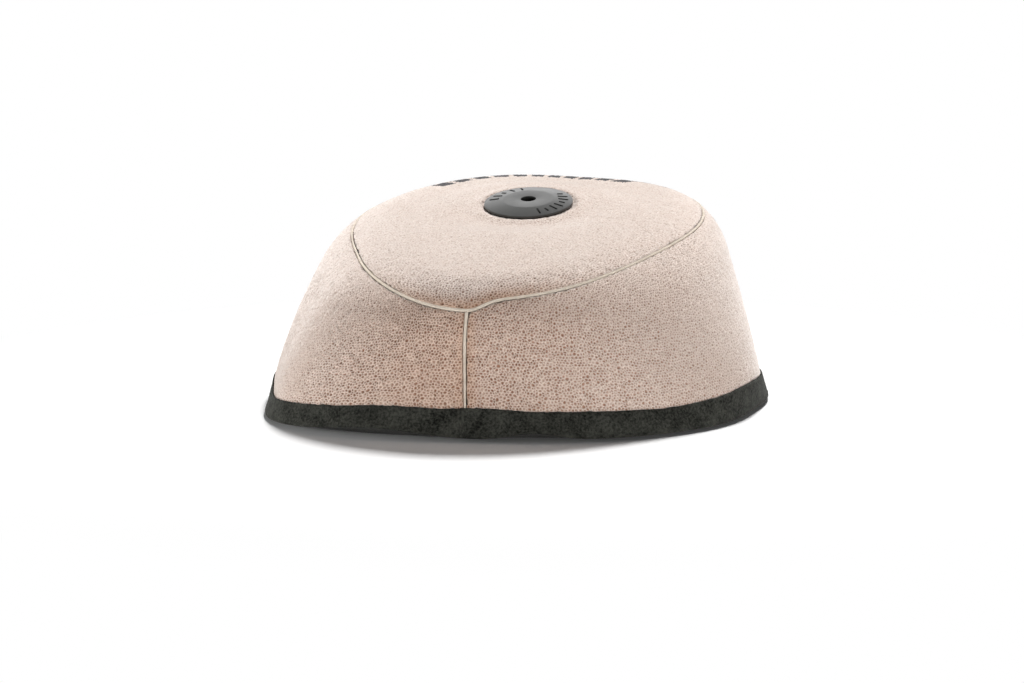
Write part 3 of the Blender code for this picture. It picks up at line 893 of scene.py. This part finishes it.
def fine_foam_paint():
    """Cream liner foam with small pores, their hollows painted darker as shade."""
    paint = Paint("fine_foam_pores", Roughness=0.95, Sheen_Weight=0.3, Sheen_Roughness=0.45,
                  Specular_IOR_Level=0.2)
    # Cell middles painted dark as the shade in the pore hollows
    hollow_shade = paint.spread(paint.cells(0.0011), 0.15, 0.62)
    clouds = paint.spread(paint.noise(0.02, 3.0), 0.3, 0.7)
    paint.link(Base_Color=paint.mix(clouds, paint.mix(hollow_shade, *LINER_AND_PORE_SHADE_COLOURS), LINER_CLOUD, "MULTIPLY"))
    paint.bump(hollow_shade, 0.0004)
    return paint.material


def glue_paint():
    """Cured cream glue, uneven in tone and gloss."""
    paint = Paint("cream_glue", Roughness=0.55, Specular_IOR_Level=0.35)
    smear = paint.noise(0.003, 4.0, 0.6)
    paint.link(Base_Color=paint.mix(paint.spread(smear, 0.3, 0.7), *GLUE_COLOURS),
               Roughness=paint.spread(smear, 0.3, 0.7, 0.7, 0.45))
    paint.bump(paint.noise(0.0009, 3.0), 0.0002)
    return paint.material


def dense_foam_paint():
    """Dark grey closed-cell foam with a fine skin grain."""
    paint = Paint("dense_grey_foam", Roughness=0.9, Sheen_Weight=0.05, Sheen_Roughness=0.5,
                  Specular_IOR_Level=0.1)
    grain = paint.noise(0.001, 3.0, 0.7)
    tone = paint.math("ADD", grain, paint.math("MULTIPLY", paint.noise(0.008, 3.0), 0.5))
    paint.link(Base_Color=paint.mix(paint.spread(tone, 0.54, 0.96), *FLANGE_COLOURS))
    paint.bump(grain, 0.00025)
    return paint.material


def black_plastic_paint():
    """Satin black moulded plastic with a fine mould grain and a little haze."""
    paint = Paint("satin_black_plastic", Roughness=0.32, Specular_IOR_Level=0.5)
    haze = paint.noise(0.004, 4.0, 0.6)
    paint.link(Base_Color=paint.mix(paint.spread(haze, 0.35, 0.7), *PLASTIC_COLOURS),
               Roughness=paint.spread(haze, 0.3, 0.7, 0.28, 0.36))
    paint.bump(paint.noise(0.0004), 0.00002)
    return paint.material


def mark_paint():
    """Matt black of the raised bars."""
    paint = Paint("matt_black_bars", Roughness=0.8, Specular_IOR_Level=0.15)
    paint.link(Base_Color=paint.mix(paint.noise(0.001, 3.0), *MARK_COLOURS))
    return paint.material


# Pieces

def keep(piece, node=None):
    """Let a finished piece ride with the filter and stand for its CAD node."""
    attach(piece, "root")
    if node is not None:
        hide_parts(node)


def sheet_piece(name, sheet, top, bottom, spacing, seed, pored):
    """Closed foam sheet between two depths: a close front, a plainer back and walls round its rims."""
    rims = sheet.outline(spacing)
    box = np.concatenate(rims)

    def layer(step, jitter):
        loose = loose_points(box.min(axis=0), box.max(axis=0), step, jitter, seed)
        return triangulate(rims, loose[sheet.is_inside(loose, RIM_MARGIN * step)], sheet)

    front, front_faces = layer(spacing, PORE_JITTER)
    back, back_faces = layer(BACK_SPACING, BACK_JITTER)
    outer = foam_point(*sheet.to_foam(front), top + sheet.pressed(front))
    inner = foam_point(*sheet.to_foam(back), bottom)
    walls = []
    start = 0
    for rim in rims:
        count = len(rim)
        here = start + np.arange(count)
        after = start + (np.arange(count) + 1) % count
        walls.append(np.stack((after, here, here + len(front)), axis=-1))
        walls.append(np.stack((after, here + len(front), after + len(front)), axis=-1))
        start += count
    faces = np.concatenate((front_faces, back_faces[:, ::-1] + len(front), *walls))
    mesh = mesh_from(name, np.concatenate((outer, inner)), faces)
    if pored:
        flat = np.concatenate((front, back))
        porous = np.zeros(len(flat))
        porous[len(box):len(front)] = 1.0
        write_values(mesh, "porous", porous)
        write_values(mesh, "warmth_and_shade", sheet.warmth_and_shade(flat))
        spots = flat[faces].mean(axis=1)
        counts = (len(front_faces), len(back_faces), len(faces) - len(front_faces) - len(back_faces))
        layers = np.repeat((FRONT_LAYER, BACK_LAYER, WALL_LAYER), counts)
        for label, values in (("flat_x", spots[:, 0]), ("flat_y", spots[:, 1]), ("layer", layers)):
            write_values(mesh, label, values, "FACE")
    return new_piece(name, mesh)


def finish_sheet(mesh, sheet, strips):
    """Ink the printed bars of a pored sheet and map it for baking.

    The map holds the front in strips, each cell's sunk floor inside its cell, then the back and the rim
    cells.
    """
    faces = Faces(mesh)
    place = np.stack((read_values(mesh, "flat_x"), read_values(mesh, "flat_y")), axis=-1)
    layer = read_values(mesh, "layer")
    lowest, highest = faces.over(np.minimum, layer), faces.over(np.maximum, layer)
    for name in ("flat_x", "flat_y", "layer"):
        mesh.attributes.remove(mesh.attributes[name])
    if sheet.printed:
        mesh.materials.append(ink_paint())
        inked = (faces.over(np.add, sheet.ink(place)) > 0.0) & (highest == FRONT_LAYER)
        mesh.polygons.foreach_set("material_index", inked.astype(np.int32))

    size = np.ptp(place, axis=0)
    place = place - place.min(axis=0)
    middle = faces.over(np.add, place) / faces.count[:, None]
    on_floor = (faces.over(np.minimum, read_values(mesh, "pore_shade")) > 0.0)[faces.face]
    sunk, centre = faces.vertex[on_floor], middle[faces.face[on_floor]]
    place[sunk] = centre + BAKE_FLOOR_SHARE * (place[sunk] - centre)

    width, row = size[0] / strips, size[1] + 2.0 * BAKE_MARGIN
    strip = np.clip(np.floor(middle[:, 0] / width), 0.0, strips - 1.0)[faces.face]
    spread = place[faces.vertex] + BAKE_MARGIN + np.stack((-strip * width, strip * row), axis=-1)
    top = strips * row
    is_back = ((lowest == BACK_LAYER) & (highest == BACK_LAYER))[faces.face]
    spread[is_back] = place[faces.vertex[is_back]] * BAKE_BACK_SHARE + (BAKE_MARGIN, top + BAKE_MARGIN)
    top = top + size[1] * BAKE_BACK_SHARE + 2.0 * BAKE_MARGIN

    is_rim = (lowest != highest) | (lowest == WALL_LAYER)
    full = width + 2.0 * BAKE_MARGIN
    columns = int(full / BAKE_RIM_CELL)
    order = (np.cumsum(is_rim) - 1)[faces.face]
    turn = FULL_TURN * (np.arange(len(faces.vertex)) - faces.first[faces.face]) / faces.count[faces.face]
    corner = 0.5 + BAKE_RIM_REACH * np.stack((np.cos(turn), np.sin(turn)), axis=-1)
    cell = np.stack((order % columns, order // columns), axis=-1) + corner
    on_rim = is_rim[faces.face]
    spread[on_rim] = cell[on_rim] * BAKE_RIM_CELL + (0.0, top)
    top = top + BAKE_RIM_CELL * math.ceil(is_rim.sum() / columns)
    bake_map = mesh.uv_layers.new(name=BAKE_MAP, do_init=False)
    bake_map.data.foreach_set("uv", (spread / (full, top)).astype(np.float32).ravel())
    mesh.update()


def make_foam():
    """Outer foam with modelled pores, and the finer liner inside it."""
    coarse, fine = coarse_foam_paint(), fine_foam_paint()
    pores = pore_tree()
    sheets = (
        ("side_foam", SideBand(OUTER_SLIT), "outer_side_band", 15, 3),
        ("top_foam", TopPanel(OUTER_SLIT), "outer_top_panel", 12, 1),
    )
    for name, sheet, node, seed, strips in sheets:
        piece = sheet_piece(name, sheet, 0.0, OUTER_FOAM, PORE_SPACING, seed, True)
        grow(piece, pores, {**PORE_SHAPE, "Seed": seed, "Foam": coarse})
        finish_sheet(piece.data, sheet, strips)
        keep(piece, node)
    liners = (
        ("side_liner", SideBand(INNER_SLIT), "inner_side_band", 13),
        ("top_liner", TopPanel(INNER_SLIT), "inner_top_panel", 14),
    )
    for name, sheet, node, seed in liners:
        piece = sheet_piece(name, sheet, INNER_TOP, FOAM_DEPTH, LINER_SPACING, seed, False)
        piece.data.materials.append(fine)
        piece.data.shade_smooth()
        keep(piece, node)


def make_glue():
    """Uneven cream glue beads in the seams of both foam layers."""
    glue, beads = glue_paint(), bead_tree()
    ring = np.linspace(0.0, FULL_TURN, BEAD_POINTS, endpoint=False)
    rows = np.linspace(FRONT_BEAD_START, 1.0, FRONT_BEAD_POINTS) * seam_offset(0.0, -FRONT_BEAD_GAP)
    around, upright = (ring, seam_run(ring)), (0.0, rows)
    swollen, tapered = 1.0 + bumps(ring, BEAD_SWELLS), np.linspace(*FRONT_BEAD_WIDTHS, FRONT_BEAD_POINTS)
    outer, liner = (BEAD_DEPTH, BEAD_RADIUS), (LINER_BEAD_DEPTH, LINER_BEAD_RADIUS)
    seams = (
        ("top_seam_bead", around, outer, swollen, "top_seam_glue"),
        ("front_seam_bead", upright, outer, tapered, "front_seam_glue"),
        ("liner_top_bead", around, liner, np.ones(BEAD_POINTS), "inner_top_seam_glue"),
        ("liner_front_bead", upright, liner, np.ones(FRONT_BEAD_POINTS), "inner_front_seam_glue"),
    )
    for name, path, (depth, radius), widths, node in seams:
        count = len(widths)
        last = count if path is around else count - 1
        edges = [(index, (index + 1) % count) for index in range(last)]
        piece = line_piece(name, foam_point(*path, depth), edges, width=widths)
        grow(piece, beads, {**BEAD_SHAPE, "Radius": radius, "Glue": glue})
        keep(piece, node)


def flange_section():
    """Flange section of (outward, height) points, from the lip beside the foam round to the inside."""
    turns = np.radians(np.linspace(*FLANGE_FOOT_TURN, FLANGE_FOOT_POINTS))
    foot = [(FLANGE_FLARE + FLANGE_FOOT * (math.cos(turn) - 1.0), FLANGE_FOOT * (math.sin(turn) + 1.0))
            for turn in turns]
    lip = [(FLANGE_LIP_GAP, FLANGE_HEIGHT), (FLANGE_LIP_GAP, FLANGE_LIP),
           (FLANGE_LIP_GAP + FLANGE_LIP_BEVEL[0], FLANGE_LIP - FLANGE_LIP_BEVEL[1])]
    inside = [(-FLANGE_INWARD, 0.0), (-FLANGE_INWARD, FLANGE_HEIGHT - FLANGE_BEVEL),
              (-FLANGE_INWARD + FLANGE_BEVEL, FLANGE_HEIGHT)]
    corners = np.array(lip + foot + inside)
    sides = zip(corners, np.roll(corners, -1, axis=0))
    return np.concatenate([spaced_line(start, end, FLANGE_SPACING) for start, end in sides])


def film_section():
    """Section of the glue film between flange and foam, clear of both."""
    low, high = FLANGE_HEIGHT + GAP, FOAM_BASE - GAP
    return np.array([(-GAP, high), (-GAP, low), (GAP - FOAM_DEPTH, low), (GAP - FOAM_DEPTH, high)])


def lip_waves(angle):
    """Sum of gentle waves round the filter, about one high."""
    draw = np.random.default_rng(LIP_SEED)
    total = np.zeros_like(angle)
    for order in LIP_WAVES:
        total = total + draw.uniform(*LIP_WAVE_SHARES) * np.sin(order * angle + draw.uniform(0.0, FULL_TURN))
    return total / math.sqrt(len(LIP_WAVES))


def flange_points(angles, section, draw):
    """A section swept along the base outline: tucked in, uneven at the lip and lifted at the edge."""
    along = unit(base_plan(angles + SLOPE_STEP) - base_plan(angles - SLOPE_STEP))
    outward = np.stack((along[:, 1], -along[:, 0]), axis=-1)
    across = np.broadcast_to(section[:, 0], (len(angles), len(section)))
    tucked = 1.0 - bumps(angles, FLANGE_TUCKS)[:, None]
    across = np.minimum(across, FLANGE_LIP_GAP + (across - FLANGE_LIP_GAP) * tucked)
    height = np.broadcast_to(section[:, 1], across.shape)
    on_face = smooth_step(across / FACE_BLEND + 0.5)
    uneven = LIP_WAVE_HEIGHT * lip_waves(angles)[:, None]
    height = height + uneven * on_face * smooth_step((height - LIP_WAVE_START) / LIP_WAVE_BLEND)
    share = height / FLANGE_LIP
    curl = smooth_step((across - FLANGE_FLARE) / EDGE_CURL + 1.0)
    across = across - bumps(angles, FOOT_TUCKS)[:, None] * curl * (1.0 - share)
    edge = EDGE_LIFT + bumps(angles, EDGE_LIFTS)[:, None]
    grain = draw.normal(0.0, GRAIN, across.shape) * on_face * smooth_step(height / GRAIN_BLEND)
    height = height + edge * curl * (1.0 - share) + bumps(angles, BASE_WAVES)[:, None] * share
    rings = base_plan(angles)[:, None] + outward[:, None] * (across + grain)[:, :, None]
    return lift(rings, height).reshape(-1, 3)


def cap_ends(mesh, sides):
    """Close the two ends of a swept piece and turn its faces outwards."""
    work = bmesh.new()
    work.from_mesh(mesh)
    work.verts.ensure_lookup_table()
    for first in (0, len(work.verts) - sides):
        work.faces.new([work.verts[first + index] for index in range(sides)])
    bmesh.ops.recalc_face_normals(work, faces=work.faces)
    work.to_mesh(mesh)
    work.free()


def make_flange():
    """Dense foam flange, the joint between its ends and the glue film under the foam."""
    dense, glue = dense_foam_paint(), bpy.data.materials["cream_glue"]
    end = JOINT_SLIT / np.linalg.norm(base_plan(0.0))
    columns = np.linspace(end, FULL_TURN - end, FLANGE_COLUMNS)
    joint = np.linspace(-end * JOINT_FILL, end * JOINT_FILL, JOINT_COLUMNS)
    parts = (
        ("flange_foam", columns, flange_section(), dense, "dense_foam", "seal_flange", FOAM_FILL),
        ("flange_joint", joint, flange_section(), dense, "dense_foam", "flange_joint_glue", None),
        ("flange_film", columns, film_section(), glue, "seam_glue", "flange_glue", None),
    )
    draw = np.random.default_rng(GRAIN_SEED)
    for name, angles, section, material, slot, node, fill in parts:
        faces = swept_faces(len(angles), len(section), False)[:, WOUND_BACK]
        mesh = mesh_from(name, flange_points(angles, section, draw), faces)
        cap_ends(mesh, len(section))
        mesh.materials.append(material)
        mesh.shade_smooth()
        keep(new_piece(name, mesh), node)


def rounded(corners):
    """Profile of (radius, height, rounding) corners, each rounded by an arc."""
    points = [np.array(corner[:2]) for corner in corners]
    profile = []
    for index, corner in enumerate(points):
        before = points[index - 1] - corner
        after = points[(index + 1) % len(points)] - corner
        room = ROUND_SHARE * min(np.linalg.norm(before), np.linalg.norm(after))
        reach = min(corners[index][2], room)
        start = corner + unit(before) * reach
        end = corner + unit(after) * reach
        for share in np.linspace(0.0, 1.0, ROUND_POINTS):
            profile.append((1 - share) ** 2 * start + 2 * share * (1 - share) * corner + share ** 2 * end)
    return np.array(profile)


def disc_place():
    """Where the disc's axis crosses the floor of the dimple."""
    return (Matrix.Translation((0.0, DISC_Y, DISC_HEIGHT))
            @ Matrix.Rotation(math.radians(DISC_TILT), 4, "X"))


def turned(name, corners, steps, material):
    """Closed profile of rounded corners turned about the disc's tilted axis."""
    profile = rounded(corners)
    turns = np.linspace(0.0, FULL_TURN, steps, endpoint=False)
    points = np.stack((
        np.cos(turns)[:, None] * profile[:, 0],
        np.sin(turns)[:, None] * profile[:, 0],
        np.broadcast_to(profile[:, 1], (steps, len(profile)))), axis=-1).reshape(-1, 3)
    mesh = mesh_from(name, points, swept_faces(steps, len(profile), True))
    mesh.transform(disc_place())
    mesh.materials.append(material)
    mesh.shade_smooth()
    return new_piece(name, mesh)


def make_disc():
    """Clamping disc with rounded moulded edges, its raised bars and the washer behind it."""
    plastic = black_plastic_paint()
    rim_top = GAP + DISC_RIM
    seat = rim_top + DISC_CONE
    washer_top = -(FOAM_DEPTH + GAP)
    washer_bottom = washer_top - WASHER_THICKNESS
    lip_top = washer_bottom - GAP
    hub_end = lip_top - HUB_LIP_HEIGHT
    disc = turned("clamping_disc", (
        (BOLT_HOLE_RADIUS, seat, EDGE_ROUND), (DISC_FLAT_RADIUS, seat, FLAT_ROUND),
        (DISC_RADIUS, rim_top, RIM_ROUND), (DISC_RADIUS, GAP, EDGE_ROUND),
        (HUB_RADIUS, GAP, SMALL_ROUND), (HUB_RADIUS, lip_top, SMALL_ROUND),
        (HUB_RADIUS + HUB_LIP, lip_top, SMALL_ROUND), (HUB_RADIUS + HUB_LIP, lip_top - HUB_LIP, SMALL_ROUND),
        (HUB_RADIUS, hub_end, EDGE_ROUND), (HUB_BORE_RADIUS, hub_end, EDGE_ROUND),
        (HUB_BORE_RADIUS, seat - WEB, EDGE_ROUND), (BOLT_HOLE_RADIUS, seat - WEB, SMALL_ROUND)),
        DISC_STEPS, plastic)
    keep(disc, "top_disc")
    make_marks(rim_top, seat)
    inside = HUB_RADIUS + GAP
    washer = turned("snap_washer", (
        (inside, washer_top, SMALL_ROUND), (WASHER_RADIUS, washer_top, WASHER_ROUND),
        (WASHER_RADIUS, washer_bottom, WASHER_ROUND), (inside, washer_bottom, EDGE_ROUND)),
        WASHER_STEPS, plastic)
    keep(washer, "backing_washer")


def make_marks(rim_top, seat):
    """Two arcs of plain raised bars on the disc's cone."""
    turns = np.radians(np.concatenate([np.arange(*arc) for arc in MARK_ARCS]))
    count = len(turns)
    middle = (DISC_FLAT_RADIUS + DISC_RADIUS) / 2.0
    lean = math.atan2(seat - rim_top, DISC_RADIUS - DISC_FLAT_RADIUS)
    places = lift(middle * np.stack((np.cos(turns), np.sin(turns)), axis=-1), (rim_top + seat) / 2.0)
    piece = line_piece("disc_bars", places, [], turn=turns, lean=np.full(count, lean),
                       stretch=np.where(np.arange(count) % SHORT_MARK_EVERY == 1, SHORT_MARK, 1.0))
    grow(piece, mark_tree(), {**MARK_SIZE, "Plastic": mark_paint()})
    piece.data.transform(disc_place())
    keep(piece)


# Stage, light and camera

def make_floor():
    """Plain pale floor that keeps the filter's shadow and fades to pure white away from it."""
    material = bpy.data.materials.new("white_floor")
    material.use_nodes = True
    material.node_tree.nodes.clear()
    nodes = Nodes(material.node_tree)
    seen = nodes.add("ShaderNodeLightPath").outputs["Is Camera Ray"]
    diffuse = nodes.add("ShaderNodeBsdfDiffuse", {"Color": nodes.mix(seen, FLOOR_BOUNCE, FLOOR_SEEN)})
    reach = nodes.vector("LENGTH", nodes.add("ShaderNodeTexCoord").outputs["Object"]).outputs["Value"]
    fade = nodes.math("MULTIPLY", nodes.spread(reach, *FLOOR_FADE, interpolation_type="SMOOTHSTEP"), seen)
    glow = nodes.add("ShaderNodeEmission")
    blend = nodes.add("ShaderNodeMixShader", {0: fade, 1: diffuse.outputs[0], 2: glow.outputs[0]})
    nodes.add("ShaderNodeOutputMaterial", {0: blend.outputs[0]})

    signs = ((-1, -1), (1, -1), (1, 1), (-1, 1))
    mesh = mesh_from("floor", [(x * FLOOR_HALF, y * FLOOR_HALF, 0.0) for x, y in signs], [(0, 1, 2, 3)])
    mesh.materials.append(material)
    floor = new_piece("floor", mesh)
    floor.location.z = -FLOOR_GAP


def make_world():
    """Soft even light, white where it is seen or mirrored."""
    world = bpy.data.worlds.new("studio")
    bpy.context.scene.world = world
    world.use_nodes = True
    nodes = Nodes(world.node_tree)
    background = world.node_tree.nodes["Background"]
    background.inputs["Color"].default_value = (1.0, 1.0, 1.0, 1.0)
    rays = nodes.add("ShaderNodeLightPath").outputs
    seen = rays["Is Camera Ray"]
    for ray in ("Is Glossy Ray", "Is Transmission Ray"):
        seen = nodes.math("MAXIMUM", seen, rays[ray])
    world.node_tree.links.new(nodes.spread(seen, 0.0, 1.0, WORLD_LIGHT), background.inputs["Strength"])


def make_lamps():
    """A key lamp above, a wide lamp behind, and low cards at the front right and at the left."""
    for name, place, size, power, mirrored in LAMPS:
        lamp = bpy.data.lights.new(name, "AREA")
        lamp.shape = "RECTANGLE"
        lamp.size, lamp.size_y = size
        lamp.energy = power
        item = new_piece(name, lamp)
        item.location = place
        item.visible_glossy = mirrored
        item.rotation_euler = (Vector(LAMP_AIM) - Vector(place)).to_track_quat("-Z", "Y").to_euler()


def make_camera():
    """Camera at the photograph's viewing angle and distance."""
    camera = new_piece("camera", bpy.data.cameras.new("camera"))
    camera.data.sensor_width = SENSOR_WIDTH
    camera.data.lens = CAMERA_FOCAL_PIXELS * SENSOR_WIDTH / PHOTO_WIDTH
    camera.data.clip_start = CAMERA_NEAR
    turn = Matrix.Rotation(math.radians(CAMERA_AZIMUTH), 4, "Z")
    tilt = Matrix.Rotation(math.radians(90.0 - CAMERA_ELEVATION), 4, "X")
    camera.matrix_world = turn @ tilt @ Matrix.Translation((CAMERA_RIGHT, CAMERA_UP, CAMERA_DISTANCE))
    bpy.context.scene.camera = camera


make_foam()
make_glue()
make_flange()
make_disc()
make_floor()
make_world()
make_lamps()
make_camera()
bpy.context.scene.view_settings.view_transform = "Standard"
